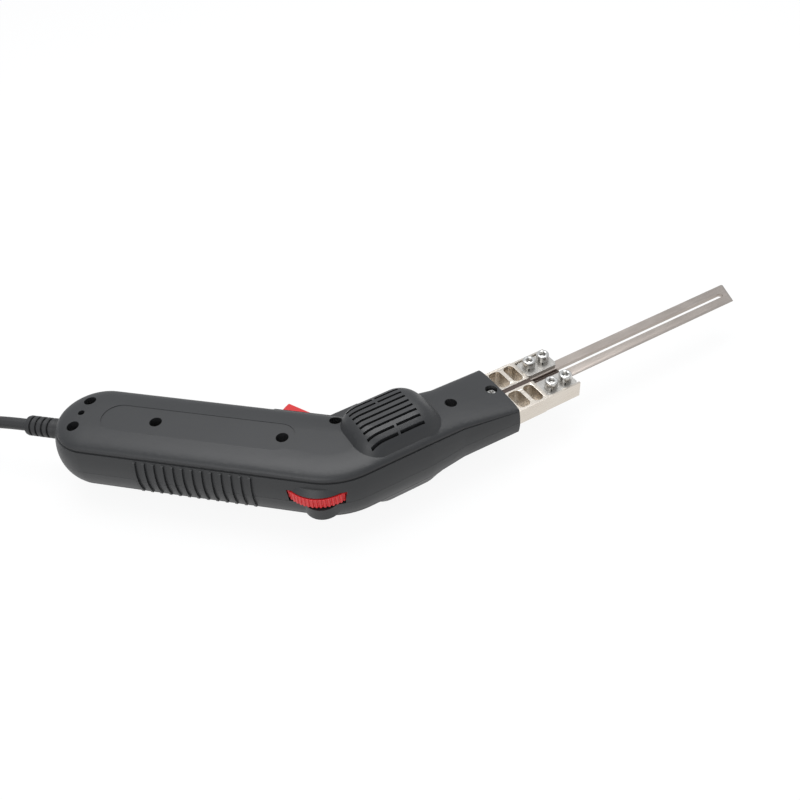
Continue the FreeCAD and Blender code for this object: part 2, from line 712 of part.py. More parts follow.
def lower_shell(body, shared, hollow):
    shell = shared.common(plan_window(-TALL, -PARTING_GAP / 2))
    room = body.common(plan_window(-TALL, -PARTING_GAP / 2))
    for at, _, _, _ in screw_places():
        shell = shell.fuse(post(at, BOSS_R, -TALL, -PARTING_GAP / 2).common(room))
    knob_at = grip(KNOB_S, KNOB_N)
    knob = post(knob_at, KNOB_R, KNOB_LOW + KNOB_CHAMFER, -PARTING_GAP / 2)
    knob = knob.fuse(Part.makeCone(KNOB_R - KNOB_CHAMFER, KNOB_R, KNOB_CHAMFER,
                                   V(knob_at.x, knob_at.y, KNOB_LOW), UP))
    shell = shell.fuse(knob.cut(hollow))
    wheel = grip(WHEEL_S, WHEEL_N)
    seats = [post(wheel, POT_R - 1.5, -TALL, POT_LOW - SEAT_GAP)]
    for s in (SWITCH_S0 + 2, SWITCH_S1 - 4):
        seats.append(grip_box(s, s + 2, SWITCH_TOP_N - SWITCH_H, SWITCH_TOP_N, -TALL,
                              SWITCH_W - SWITCH_HALF_W - SEAT_GAP))
    for s in (BOARD_S0 + 3, BOARD_S1 - 3):
        for n in (3 - BOARD_HALF_N, BOARD_HALF_N - 3):
            seats.append(post(grip(s, n), 2.2, -TALL, BOARD_LOW - SEAT_GAP))
    middle = (CLAMP_S0 + CLAMP_S1) / 2
    top = CORD_W + CORD_R
    for n in (-CLAMP_SCREW_N, CLAMP_SCREW_N):
        seats.append(post(grip(middle, n), CLAMP_POST_R, -TALL, top))
    seats.append(grip_box(CLAMP_S0, CLAMP_S1, -CLAMP_SCREW_N, CLAMP_SCREW_N, -TALL, CORD_W))
    inside = body.common(plan_window(-TALL, top))
    for seat in seats:
        shell = shell.fuse(seat.common(inside))
    shell = shell.cut(rod(grip(CLAMP_S0 - 5, 0, CORD_W), ALONG, CORD_R + CORD_FIT, CLAMP_S1 - CLAMP_S0 + 10))
    for n in (-CLAMP_SCREW_N, CLAMP_SCREW_N):
        shell = shell.cut(post(grip(middle, n), CLAMP_SCREW_R + SCREW_FIT, top - CLAMP_SCREW_DEPTH, top + 1))
    for at, seat, length, _ in all_screws():
        shell = shell.cut(post(at, SCREW_SHANK_R + SCREW_FIT, seat - length - 0.6, 1))
    return shell.removeSplitter()


def pan_screw(at, seat, length, head_r=SCREW_HEAD_R, head_h=SCREW_HEAD_H, shank_r=SCREW_SHANK_R):
    """Pan head screw standing on its seat, with a cross recess."""
    head = post(at, head_r, seat, seat + head_h)
    head = head.makeFillet(0.35 * head_h, [e for e in head.Edges if e.BoundBox.ZMin > seat + 0.9 * head_h])
    top = seat + head_h
    for dx, dy in ((0.55 * head_r, 0.4), (0.4, 0.55 * head_r)):
        head = head.cut(box(at.x - dx, at.x + dx, at.y - dy, at.y + dy, top - 0.45 * head_h, top + 1))
    return head.fuse(post(at, shank_r, seat - length, seat))


def housing_screws():
    return Part.makeCompound([pan_screw(at, seat, length) for at, seat, length, _ in all_screws()])


# Terminal bars, clamps and blade

def pocket(x0, x1, y0, y1, floor):
    wire = rounded_level(floor, y0, y1, x0, x1, POCKET_CORNER)
    return Part.Face(wire).extrude(V(0, 0, TALL))


def terminal_bar():
    """The bar on the trigger side; the other one is its mirror image."""
    bar = box(BAR_REAR_X, BAR_STEP_X, SLIT_HALF, BAR_OUTER, -BAR_HALF_H, BAR_HALF_H)
    bar = bar.fuse(box(BAR_STEP_X, BAR_FRONT_X, SLIT_HALF, BAR_OUTER_FRONT, -BAR_HALF_H, BAR_TOP_FRONT))
    for x0, x1 in POCKETS:
        bar = bar.cut(pocket(x0, x1, POCKET_INNER, POCKET_OUTER, POCKET_FLOOR))
    bar = bar.cut(box(SEAT_REAR_X, BAR_FRONT_X + 1, 0, SEAT_OUTER, BLADE_THICK, TALL))
    bar = bar.cut(box(SEAT_REAR_X, BAR_FRONT_X + 1, 0, BLADE_HALF + BLADE_FIT, 0, TALL))
    for x in CLAMP_SCREW_XS:
        bar = bar.cut(post(V(x, CLAMP_SCREW_Y, 0), CLAMP_SHANK_R + BLADE_FIT, -TALL, TALL))
    bar = bar.cut(box(BAR_REAR_X - 1, TONGUE_END_X, strap_inner() - BLADE_FIT, TALL, -TALL, TALL))
    bar = bar.cut(rod(V(STRAP_SCREW_X, 4, 0), V(0, 1, 0), STRAP_SCREW_R + SCREW_FIT, TALL))
    return bar.removeSplitter()


def near_side(shape):
    return shape.mirror(V(0, 0, 0), V(0, 1, 0))


def clamp_plate():
    x0 = SEAT_REAR_X + PLATE_FIT
    x1 = BAR_FRONT_X - PLATE_FIT
    y0 = SEAT_INNER + PLATE_FIT
    y1 = SEAT_OUTER - PLATE_FIT
    c = PLATE_CHAMFER
    r = PLATE_CORNER
    k = r * (1 - math.sqrt(0.5))
    w = BLADE_THICK
    edges = [
        arc_edge(V(x0 + r, y0, w), V(x0 + k, y0 + k, w), V(x0, y0 + r, w)),
        line_edge(V(x0, y0 + r, w), V(x0, y1 - r, w)),
        arc_edge(V(x0, y1 - r, w), V(x0 + k, y1 - k, w), V(x0 + r, y1, w)),
        line_edge(V(x0 + r, y1, w), V(x1 - c, y1, w)),
        line_edge(V(x1 - c, y1, w), V(x1, y1 - c, w)),
        line_edge(V(x1, y1 - c, w), V(x1, y0 + c, w)),
        line_edge(V(x1, y0 + c, w), V(x1 - c, y0, w)),
        line_edge(V(x1 - c, y0, w), V(x0 + r, y0, w)),
    ]
    plate = Part.Face(Part.Wire(edges)).extrude(V(0, 0, PLATE_THICK))
    for x in CLAMP_SCREW_XS:
        plate = plate.cut(post(V(x, CLAMP_SCREW_Y, 0), CLAMP_SHANK_R + 0.15, 0, TALL))
    return plate


def clamp_screw(x, y):
    seat = BLADE_THICK + PLATE_THICK + WASHER_T
    at = V(x, y, 0)
    head = post(at, CLAMP_HEAD_R, seat, seat + CLAMP_HEAD_H)
    head = head.makeFillet(0.5, [e for e in head.Edges if e.BoundBox.ZMin > seat + 0.9 * CLAMP_HEAD_H])
    corner = CLAMP_HEX / math.sqrt(3)
    socket = [V(x + corner * math.cos(math.radians(60 * i + 20)),
                y + corner * math.sin(math.radians(60 * i + 20)), 0) for i in range(6)]
    head = head.cut(prism(socket, seat + 0.45 * CLAMP_HEAD_H, TALL))
    return head.fuse(post(at, CLAMP_SHANK_R, -BAR_HALF_H + 0.3, seat))


def spring_washer(x, y):
    """Split ring, its two ends a little apart."""
    low = BLADE_THICK + PLATE_THICK
    ring = post(V(x, y, 0), WASHER_R, low, low + WASHER_T)
    ring = ring.cut(post(V(x, y, 0), CLAMP_SHANK_R + 0.15, low - 1, low + WASHER_T + 1))
    half = WASHER_SPLIT / 2
    slit = box(x - half, x + half, y - WASHER_R - 1, y, low - 1, low + WASHER_T + 1)
    slit.rotate(V(x, y, 0), UP, -35)
    return ring.cut(slit)


def clamp_places():
    return [(x, y) for x in CLAMP_SCREW_XS for y in (CLAMP_SCREW_Y, -CLAMP_SCREW_Y)]


def blade():
    half = BLADE_HALF
    points = [(BLADE_REAR_X, -half), (BLADE_TIP_NEAR_X, -half), (BLADE_TIP_FAR_X, half), (BLADE_REAR_X, half)]
    body = plan_prism(points, 0, BLADE_THICK)
    slot = BLADE_SLOT_HALF
    body = body.cut(box(BLADE_REAR_X - 1, BLADE_SLOT_END_X - slot, -slot, slot, -1, TALL))
    body = body.cut(post(V(BLADE_SLOT_END_X - slot, 0, 0), slot, -1, TALL))
    tip = V(BLADE_TIP_FAR_X - BLADE_TIP_NEAR_X, 2 * half, 0)
    slant = tip.normalize()
    out = V(slant.y, -slant.x, 0)
    start = BAR_FRONT_X + 1
    for sign in (0, 1):
        w = BLADE_THICK * sign
        side = 1 if sign else -1
        edge = BLADE_THICK / 2 + side * BLADE_EDGE / 2
        profile = [V(start, -half - 1, edge), V(start, -half, edge), V(start, -half + BLADE_BEVEL, w),
                   V(start, -half + BLADE_BEVEL, w + side), V(start, -half - 1, w + side)]
        wedge = Part.Face(Part.makePolygon(profile + [profile[0]])).extrude(V(TALL * 4, 0, 0))
        body = body.cut(wedge)
        corner = V(BLADE_TIP_NEAR_X, -half, 0) - slant * 5
        profile = [corner + out + V(0, 0, edge), corner + V(0, 0, edge),
                   corner - out * BLADE_BEVEL + V(0, 0, w), corner - out * BLADE_BEVEL + V(0, 0, w + side),
                   corner + out + V(0, 0, w + side)]
        wedge = Part.Face(Part.makePolygon(profile + [profile[0]])).extrude(slant * (2 * half + 15))
        body = body.cut(wedge)
    return body


def insulating_strip():
    half = SLIT_HALF - BLADE_FIT
    strip = box(STRIP_REAR_X, STRIP_FRONT_X, -half, half, -BAR_HALF_H + 0.2, BAR_HALF_H - 0.3)
    under = box(STRIP_FRONT_X, BAR_FRONT_X - 0.5, -half, half, -BAR_HALF_H + 0.2, -BLADE_FIT)
    return strip.fuse(under)


def bar_carrier():
    y = CARRIER_HALF_Y
    top = box(CARRIER_REAR_X, CARRIER_FRONT_X, -y, y, BAR_HALF_H + BLADE_FIT, CARRIER_HALF_H)
    web = box(CARRIER_REAR_X, CARRIER_FRONT_X, BLADE_FIT - SLIT_HALF, SLIT_HALF - BLADE_FIT,
              -CARRIER_HALF_H, CARRIER_HALF_H)
    return fuse_all([top, mirrored(top), web])


# Transformer

def strap_inner():
    return CORE_THICK / 2 + STRAP_CLEAR


def transformer_core():
    half = CORE_THICK / 2
    core = box(CORE_X - CORE_LENGTH / 2, CORE_X + CORE_LENGTH / 2, -half, half, -CORE_HALF_H, CORE_HALF_H)
    x0 = CORE_X - WINDOW_LENGTH / 2
    window = box(x0, x0 + WINDOW_LENGTH, -half - 1, half + 1, LIMB_HALF_H, WINDOW_TOP)
    return core.cut(window).cut(mirrored(window))


def ring_about_limb(x0, x1, inner, outer):
    """Box shaped sleeve round the middle limb, inner and outer are distances from the limb."""
    half = CORE_THICK / 2
    sleeve = box(x0, x1, -half - outer, half + outer, -LIMB_HALF_H - outer, LIMB_HALF_H + outer)
    return sleeve.cut(box(x0 - 1, x1 + 1, -half - inner, half + inner, -LIMB_HALF_H - inner,
                          LIMB_HALF_H + inner))


def bobbin_span():
    x0 = CORE_X - WINDOW_LENGTH / 2 + BOBBIN_FIT
    return x0, x0 + PRIMARY_LENGTH + 2 * BOBBIN_FLANGE


def bobbin():
    x0, x1 = bobbin_span()
    tube = ring_about_limb(x0, x1, BOBBIN_FIT, BOBBIN_FIT + BOBBIN_WALL)
    flange = BOBBIN_FIT + BOBBIN_WALL + PRIMARY_DEPTH + 0.6
    rear = ring_about_limb(x0, x0 + BOBBIN_FLANGE, BOBBIN_FIT, flange)
    front = ring_about_limb(x1 - BOBBIN_FLANGE, x1, BOBBIN_FIT, flange)
    return fuse_all([tube, rear, front])


def primary_winding():
    x0, x1 = bobbin_span()
    inner = BOBBIN_FIT + BOBBIN_WALL + 0.05
    coil = ring_about_limb(x0 + BOBBIN_FLANGE + 0.05, x1 - BOBBIN_FLANGE - 0.05, inner,
                           inner + PRIMARY_DEPTH)
    edges = [e for e in coil.Edges if e.BoundBox.XLength > PRIMARY_LENGTH / 2 and
             abs(e.BoundBox.YMax) > CORE_THICK / 2 + PRIMARY_DEPTH]
    return coil.makeFillet(2.5, edges)


def secondary_strap():
    x0 = bobbin_span()[1] + 1.0
    inner = strap_inner()
    outer = inner + STRAP_THICK
    low = LIMB_HALF_H + STRAP_ABOVE_LIMB
    top = low + STRAP_THICK
    strap = box(x0, x0 + STRAP_WIDTH, -outer, outer, STRAP_LOW, top)
    strap = strap.cut(box(x0 - 1, x0 + STRAP_WIDTH + 1, -inner, inner, STRAP_LOW - 1, low))
    tab = box(x0, TONGUE_END_X, inner, outer, STRAP_LOW, -STRAP_LOW)
    tab = tab.cut(rod(V(STRAP_SCREW_X, 0, 0), V(0, 1, 0), STRAP_SCREW_R + SCREW_CLEAR, TALL))
    return fuse_all([strap, tab, near_side(tab)])


def strap_screw():
    outer = strap_inner() + STRAP_THICK
    head = rod(V(STRAP_SCREW_X, outer, 0), V(0, 1, 0), 3.0, 2.2)
    shank = rod(V(STRAP_SCREW_X, 5, 0), V(0, 1, 0), STRAP_SCREW_R, outer - 5)
    return head.fuse(shank)


# Trigger, switch and spring

def trigger_bezel():
    top = GRIP_HALF + BEZEL_PROUD
    kink_s = (GUARD_Y - COS * top) / SIN
    rear = grip(BEZEL_REAR_S, top - 12)
    chamfer = 1.6
    points = [rear, grip(BEZEL_REAR_S, top - chamfer), grip(BEZEL_REAR_S - chamfer, top), grip(kink_s, top),
              V(GUARD_FRONT_X - chamfer, GUARD_Y, 0), V(GUARD_FRONT_X, GUARD_Y - chamfer, 0),
              V(GUARD_FRONT_X, HEAD_HALF - 4, 0)]
    flange = prism(points, -BEZEL_HALF_W, BEZEL_HALF_W)
    flange = flange.cut(side_wall(-BLADE_FIT))
    s0, s1, half_w = trigger_opening(COLLAR_WALL)
    collar = grip_box(s0, s1, COLLAR_DEPTH_N, top, -half_w, half_w)
    s0, s1, half_w = trigger_opening(0)
    room = grip_box(s0, s1, COLLAR_DEPTH_N - 20, top + 20, -half_w, half_w)
    bezel = flange.fuse(collar).cut(room)
    pin = grip(TRIGGER_PIVOT_S, TRIGGER_PIVOT_N)
    return bezel.cut(post(pin, TRIGGER_PIN_R + CORD_FIT, -TALL, TALL)).removeSplitter()


def trigger():
    s, n = TRIGGER_PIVOT_S, TRIGGER_PIVOT_N
    r = TRIGGER_NOSE_R - 0.1
    reach_top = s + math.sqrt(TRIGGER_REAR_R ** 2 - (TRIGGER_TOP_N - n) ** 2)
    reach_low = s + math.sqrt(TRIGGER_REAR_R ** 2 - (n - TRIGGER_BELOW_N) ** 2)
    top = grip(reach_top, TRIGGER_TOP_N)
    low = grip(reach_low, TRIGGER_BELOW_N)
    nose = grip(s, n)
    wire = Part.Wire([
        line_edge(grip(s, n + r), top),
        arc_edge(top, nose + ALONG * TRIGGER_REAR_R, low),
        line_edge(low, grip(s + 7, TRIGGER_BELOW_N)),
        line_edge(grip(s + 7, TRIGGER_BELOW_N), grip(s, n - r)),
        arc_edge(grip(s, n - r), grip(s - r, n), grip(s, n + r)),
    ])
    face = Part.Face(wire)
    face.translate(V(0, 0, -TRIGGER_HALF_W))
    body = face.extrude(V(0, 0, 2 * TRIGGER_HALF_W))
    body = body.makeFillet(1.1, [e for e in body.Edges if trigger_outer_edge(e)])
    foot = grip_box(PLUNGER_S - 1.5, PLUNGER_S + 1.5, SWITCH_TOP_N + PLUNGER_OUT + BLADE_FIT,
                    TRIGGER_BELOW_N + 1, SWITCH_W - 1.5, SWITCH_W + 1.5)
    body = body.fuse(foot)
    return body.cut(post(nose, TRIGGER_PIN_R + PIN_FIT, -TALL, TALL)).removeSplitter()


def trigger_outer_edge(edge):
    """The long outer edges of the trigger's two sides."""
    middle = edge.CenterOfMass
    across = (middle - grip(0, 0)).dot(ACROSS)
    flat = edge.BoundBox.ZLength < 0.1
    return flat and across > TRIGGER_PIVOT_N + 3 and edge.Length > 15


def trigger_pin():
    half_w = trigger_opening(COLLAR_WALL)[2]
    return post(grip(TRIGGER_PIVOT_S, TRIGGER_PIVOT_N), TRIGGER_PIN_R, -half_w, half_w)


def micro_switch():
    low = SWITCH_W - SWITCH_HALF_W
    high = SWITCH_W + SWITCH_HALF_W
    body = grip_box(SWITCH_S0, SWITCH_S1, SWITCH_TOP_N - SWITCH_H, SWITCH_TOP_N, low, high)
    bore = rod(grip(PLUNGER_S, SWITCH_TOP_N - 4, SWITCH_W), ACROSS, PLUNGER_R + PLUNGER_FIT, 8)
    tags = [grip_box(s - 1.5, s + 1.5, SWITCH_TOP_N - SWITCH_H - 2.2, SWITCH_TOP_N - SWITCH_H,
                     SWITCH_W - 0.3, SWITCH_W + 0.3) for s in (SWITCH_S0 + 2, SWITCH_S1 - 2)]
    return fuse_all([body.cut(bore)] + tags)


def switch_plunger():
    length = PLUNGER_OUT + 1.8
    start = grip(PLUNGER_S, SWITCH_TOP_N + PLUNGER_OUT - length, SWITCH_W)
    return rod(start, ACROSS, PLUNGER_R, length)


def trigger_spring():
    base = SWITCH_TOP_N + SPRING_WIRE_R + BLADE_FIT
    free = TRIGGER_BELOW_N - SPRING_WIRE_R - BLADE_FIT - base
    helix = Part.makeHelix(free / SPRING_TURNS, free, SPRING_R)
    circle = Part.Circle(V(SPRING_R, 0, 0), V(0, 1, 0), SPRING_WIRE_R).toShape()
    spring = Part.Wire(helix.Edges).makePipeShell([Part.Wire([circle])], True, True)
    spring.rotate(V(0, 0, 0), V(1, 0, 0), -90)
    spring.rotate(V(0, 0, 0), UP, -GRIP_ANGLE)
    spring.translate(grip(SPRING_S, base, SWITCH_W))
    return spring


# Thumbwheel and potentiometer

def thumbwheel():
    at = grip(WHEEL_S, WHEEL_N)
    points = []
    for index in range(WHEEL_TEETH):
        for share, radius in ((0.0, WHEEL_R), (0.42, WHEEL_R), (0.58, WHEEL_R - WHEEL_TOOTH),
                              (0.84, WHEEL_R - WHEEL_TOOTH)):
            turn = 2 * math.pi * (index + share) / WHEEL_TEETH
            points.append(V(at.x + radius * math.cos(turn), at.y + radius * math.sin(turn), 0))
    wheel = prism(points, WHEEL_LOW, WHEEL_HIGH)
    rim = WHEEL_R - 3.2
    dish = post(at, rim, WHEEL_HIGH - 1.4, TALL).cut(post(at, SHAFT_R + 2.6, 0, TALL))
    bore = post(at, SHAFT_R + CORD_FIT, -TALL, TALL)
    return wheel.cut(dish).cut(bore)


def potentiometer():
    at = grip(WHEEL_S, WHEEL_N)
    can = post(at, POT_R, POT_LOW, POT_HIGH)
    bush = post(at, SHAFT_R + 1.4, POT_HIGH, WHEEL_LOW - 0.6)
    tags = [post(at + ALONG * (POT_R + 1.5) + ACROSS * n, 0.6, POT_LOW + 1, POT_LOW + 4) for n in (-4, 0, 4)]
    bar = grip_box(WHEEL_S + POT_R - 1.5, WHEEL_S + POT_R + 2.5, WHEEL_N - 5, WHEEL_N + 5,
                   POT_LOW, POT_LOW + 1.5)
    body = fuse_all([can, bush, bar] + tags)
    return body.cut(post(at, SHAFT_R + SHAFT_FIT, POT_HIGH - 4, TALL))


def pot_shaft():
    return post(grip(WHEEL_S, WHEEL_N), SHAFT_R, POT_HIGH - 3.5, WHEEL_HIGH)


# Circuit board

def circuit_board():
    return grip_box(BOARD_S0, BOARD_S1, -BOARD_HALF_N, BOARD_HALF_N, BOARD_LOW, BOARD_LOW + BOARD_THICK)


def heat_sink():
    top = BOARD_LOW + BOARD_THICK
    base = grip_box(BOARD_S0 + 4, BOARD_S0 + 24, 6, 8, top, top + 16)
    fins = [grip_box(BOARD_S0 + 4 + 3.6 * i, BOARD_S0 + 5.2 + 3.6 * i, 8, 13, top, top + 16)
            for i in range(6)]
    return fuse_all([base] + fins)


def triac():
    top = BOARD_LOW + BOARD_THICK
    s = BOARD_S0 + 9
    body = grip_box(s, s + 10, 1.6, 6 - BLADE_FIT, top + 3, top + 12)
    tab = grip_box(s, s + 10, 4.7, 6 - BLADE_FIT, top + 12, top + 16)
    legs = [grip_box(s + 1.6 + 2.5 * i, s + 2.4 + 2.5 * i, 3, 3.6, top, top + 3) for i in range(3)]
    return fuse_all([body, tab] + legs)


def capacitor():
    top = BOARD_LOW + BOARD_THICK
    return grip_box(BOARD_S0 + 6, BOARD_S0 + 24, -11, -3, top, top + 14)


def choke():
    """Suppression choke, a wound ring standing on the board."""
    at = grip(BOARD_S0 + 33, 0, BOARD_LOW + BOARD_THICK + 7.5)
    ring = Part.makeTorus(5.0, 2.4, at, ALONG)
    top = BOARD_LOW + BOARD_THICK
    foot = grip_box(BOARD_S0 + 31, BOARD_S0 + 35, -4, 4, top, top + 1.2)
    return ring.fuse(foot)


# Cord, boot, coil and plug

def rounded_path(points, name=""):
    """Straight runs joined by tangent arcs, each as large as its two runs allow."""
    edges = []
    radii = []
    start = points[0]
    for index in range(1, len(points) - 1):
        here = points[index]
        back = points[index - 1] - here
        ahead = points[index + 1] - here
        reach = 0.45 * min(back.Length, ahead.Length)
        back.normalize()
        ahead.normalize()
        half_turn = (math.pi - back.getAngle(ahead)) / 2
        radius = reach / math.tan(half_turn)
        radii.append(round(radius, 1))
        first = here + back * reach
        last = here + ahead * reach
        inward = back + ahead
        inward.normalize()
        middle = here + inward * (radius / math.cos(half_turn) - radius)
        edges.append(line_edge(start, first))
        edges.append(arc_edge(first, middle, last))
        start = last
    edges.append(line_edge(start, points[-1]))
    if name:
        print(name, "radii", radii)
    return Part.Wire(edges)


def tube(points, radius, name=""):
    path = rounded_path(points, name)
    circle = Part.Circle(points[0], points[1] - points[0], radius).toShape()
    solid = path.makePipeShell([Part.Wire([circle])], True, False)
    if name:
        print(name, "volume", round(solid.Volume), "section by length",
              round(math.pi * radius ** 2 * path.Length))
    return solid


def cord_boot():
    end = BOOT_START_S + BOOT_LENGTH
    parts = [rod(grip(BOOT_FLANGE_S, 0, CORD_W), ALONG, BOOT_FLANGE_R, BOOT_FLANGE_T),
             rod(grip(BOOT_FLANGE_S, 0, CORD_W), ALONG, BOOT_NECK_R, BOOT_START_S + 0.5 - BOOT_FLANGE_S),
             rod(grip(BOOT_START_S, 0, CORD_W), ALONG, BOOT_ROOT_R, BOOT_LENGTH)]
    for index in range(BOOT_RINGS):
        s = BOOT_START_S + index * BOOT_PITCH
        shrink = 0.12 * index
        parts.append(rod(grip(s, 0, CORD_W), ALONG, BOOT_R - shrink, BOOT_RING))
    boot = fuse_all(parts)
    return boot.cut(rod(grip(BOOT_FLANGE_S - 1, 0, CORD_W), ALONG, CORD_R + CORD_FIT,
                        end - BOOT_FLANGE_S + 2))


def cord_end_s():
    return BOOT_START_S + BOOT_LENGTH + 1.0


def cord_inner():
    return rod(grip(CORD_INNER_S, 0, CORD_W), ALONG, CORD_R, cord_end_s() - CORD_INNER_S)


def cord_clamp():
    middle = (CLAMP_S0 + CLAMP_S1) / 2
    low = CORD_W + CORD_R + BLADE_FIT
    half = CLAMP_SCREW_N + CLAMP_POST_R
    bar = grip_box(CLAMP_S0, CLAMP_S1, -half, half, low, low + CLAMP_BAR_T)
    for n in (-CLAMP_SCREW_N, CLAMP_SCREW_N):
        bar = bar.cut(post(grip(middle, n), CLAMP_SCREW_R + SCREW_CLEAR, 0, TALL))
    return bar


def cord_clamp_screws():
    middle = (CLAMP_S0 + CLAMP_S1) / 2
    seat = CORD_W + CORD_R + BLADE_FIT + CLAMP_BAR_T
    return Part.makeCompound([pan_screw(grip(middle, n), seat, CLAMP_SCREW_DEPTH + 2, 2.4, 1.7, CLAMP_SCREW_R)
                              for n in (-CLAMP_SCREW_N, CLAMP_SCREW_N)])


def mains_leads():
    """Two cores of the cord, to the board and to the switch."""
    w = BOARD_LOW + BOARD_THICK + LEAD_R + 0.1
    first = [grip(CORD_INNER_S, 1.5, CORD_W), grip(CORD_INNER_S - 6, 1.5, CORD_W), grip(111, 9, w),
             grip(103, 10.5, w), grip(92, 10, w)]
    second = [grip(CORD_INNER_S, -1.5, CORD_W), grip(CORD_INNER_S - 6, -1.5, CORD_W), grip(111, -9, w),
              grip(103, -10.5, w), grip(92, -10, w)]
    return Part.makeCompound([tube(first, LEAD_R), tube(second, LEAD_R)])


def low_point(x, y, w=None):
    height = CORD_R - HUMP_TOP if w is None else w
    return V(x, y, height)


def cord_run():
    start = cord_end_s()
    points = [grip(start, 0, CORD_W), grip(start + 22, 0, CORD_W), V(-199, 162, -4.5), V(-224, 183.5, -15.5),
              low_point(COIL_X + 23, COIL_Y + COIL_OUTER_R), low_point(COIL_X, COIL_Y + COIL_OUTER_R)]
    return tube(points, CORD_R, "cord run")


def coil_points():
    """Half turn points of the coil: spiral in, climb a layer, spiral out again."""
    turns_in = 2 * COIL_LOOPS
    low = CORD_R - HUMP_TOP
    high = low + COIL_STEP
    points = []
    for k in range(2 * turns_in + 1):
        inward = k
        if k > turns_in + 1:
            inward = 2 * turns_in - k + (0 if k % 2 == 0 else 2)
        side = 1 if k % 2 == 0 else -1
        height = low if k <= turns_in else high
        points.append(V(COIL_X, COIL_Y + side * (COIL_OUTER_R - inward * COIL_STEP / 2), height))
    return points


def cord_coil():
    points = coil_points()
    edges = []
    for k in range(len(points) - 1):
        start, end = points[k], points[k + 1]
        radius = (end - start).Length / 2
        middle = (start + end) * 0.5 + V(-radius if k % 2 == 0 else radius, 0, 0)
        quarter = math.sqrt(0.5)
        centre = (start + end) * 0.5
        out = (middle - centre)
        first = centre + (start - centre) * quarter + out * quarter
        last = centre + (end - centre) * quarter + out * quarter
        edges.append(arc_edge(start, first, middle))
        edges.append(arc_edge(middle, last, end))
    path = Part.Wire(edges)
    circle = Part.Circle(points[0], V(-1, 0, 0), CORD_R).toShape()
    solid = path.makePipeShell([Part.Wire([circle])], True, False)
    print("coil length", round(path.Length), "volume", round(solid.Volume), "section by length",
          round(math.pi * CORD_R ** 2 * path.Length))
    print("coil least gap to itself", round(least_gap(edges), 2))
    return solid


def least_gap(edges):
    """Least distance between the coil's surface and itself, on points along its middle line."""
    step = 2.0
    samples = []
    along = 0.0
    for edge in edges:
        count = max(2, int(edge.Length / step))
        for point in edge.discretize(count)[:-1]:
            samples.append((along, point))
            along += edge.Length / (count - 1)
    best = TALL
    apart = 6 * CORD_R
    for i, (a, p) in enumerate(samples):
        for b, q in samples[i + 1:]:
            if b - a > apart:
                best = min(best, (p - q).Length)
    return best - 2 * CORD_R


def plug_frame():
    start = V(COIL_X - 64, COIL_Y + 3, PLUG_HALF_H - HUMP_TOP)
    ahead = V(-4, -21, 0)
    return start, ahead.normalize()


def cord_tail():
    high = CORD_R - HUMP_TOP + COIL_STEP
    y = COIL_Y + COIL_OUTER_R
    points = [V(COIL_X, y, high), V(COIL_X - 20, y, high), V(COIL_X - 44, y - 4.5, high - 1),
              V(COIL_X - 60, y - 22.5, high - 2.7), plug_frame()[0]]
    return tube(points, CORD_R, "cord tail")


def plug_body():
    start, ahead = plug_frame()
    side = V(-ahead.y, ahead.x, 0)

    def at(along, across, w=0.0):
        return start + ahead * along + side * across + V(0, 0, w)

    neck = 5.0
    waist = 9.0
    points = [(0, -neck), (8, -neck), (13, -waist), (20, -PLUG_HALF_W), (PLUG_LENGTH - 3, -PLUG_HALF_W),
              (PLUG_LENGTH, -PLUG_HALF_W + 3)]
    points += [(x, -y) for x, y in reversed(points)]
    plan = [at(x, y, -PLUG_HALF_H) for x, y in points]
    body = Part.Face(Part.makePolygon(plan + [plan[0]])).extrude(V(0, 0, 2 * PLUG_HALF_H))
    side_points = [(0, -4.6), (9, -5.2), (18, -PLUG_HALF_H), (PLUG_LENGTH, -PLUG_HALF_H),
                   (PLUG_LENGTH, PLUG_HALF_H), (18, PLUG_HALF_H), (9, 5.2), (0, 4.6)]
    profile = [at(x, -PLUG_HALF_W - 1, w) for x, w in side_points]
    cutter = Part.Face(Part.makePolygon(profile + [profile[0]])).extrude(side * (2 * PLUG_HALF_W + 2))
    return body.common(cutter)


def plug_pins():
    start, ahead = plug_frame()
    side = V(-ahead.y, ahead.x, 0)
    pins = []
    for sign in (-1, 1):
        at = start + ahead * PLUG_LENGTH + side * (sign * PIN_SPACING / 2)
        pin = rod(at, ahead, PIN_R, PIN_LENGTH - PIN_R)
        pins.append(pin.fuse(Part.makeSphere(PIN_R, at + ahead * (PIN_LENGTH - PIN_R))).removeSplitter())
    return Part.makeCompound(pins)


def export(name, shape):
    shape = shape.copy()
    shape.translate(V(0, 0, HUMP_TOP))
    shape.exportStep("parts/" + name + ".step")


